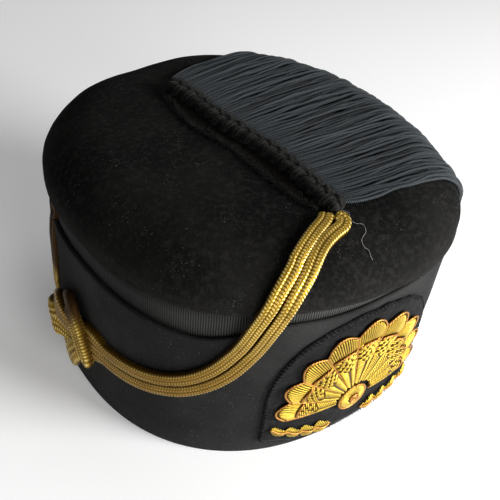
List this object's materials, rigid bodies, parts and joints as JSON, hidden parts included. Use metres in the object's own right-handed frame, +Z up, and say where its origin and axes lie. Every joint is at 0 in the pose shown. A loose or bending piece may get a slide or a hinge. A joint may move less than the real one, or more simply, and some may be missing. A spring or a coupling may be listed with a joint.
{
  "type": "soft felt fez hat",
  "caption": "Low soft felt fez with a turned-up cuff, ribbed ribbon, draped cord fringe from a plaited head, knotted gold braid and an embroidered badge.",
  "frame": {"origin": "centre of the hat's box at the plane that its rim rests on", "axes": "+Z up through the crown, the badge faces -Y, the knot is on the wearer's right at -X, the fringe hangs over the wearer's left at +X"},
  "size_m": [0.1936, 0.197, 0.122],
  "materials": {
    "black_felt": "soft black wool felt with a short nap",
    "wool_cloth": "black milled wool cloth, slightly worn",
    "grosgrain": "dark grey ribbed ribbon with a low sheen",
    "patch_felt": "black felt backing with a stitched edge",
    "gold_bullion": "gilt wire laid over padding, satin",
    "gold_braid": "flat braid of gilt thread, aged in its grooves",
    "fringe_cord": "slate twisted cord with a soft sheen"
  },
  "bodies": {
    "root": {"crown": "black_felt", "grosgrain_ribbon": "grosgrain", "cuff": "wool_cloth", "badge_patch": "patch_felt", "badge_palmette": "gold_bullion", "badge_rosette": "gold_bullion", "badge_spray_right": "gold_bullion", "badge_spray_left": "gold_bullion", "gold_cord_front": "gold_braid", "gold_cord_rear": "gold_braid", "fringe": "fringe_cord"}
  },
  "joints": []
}
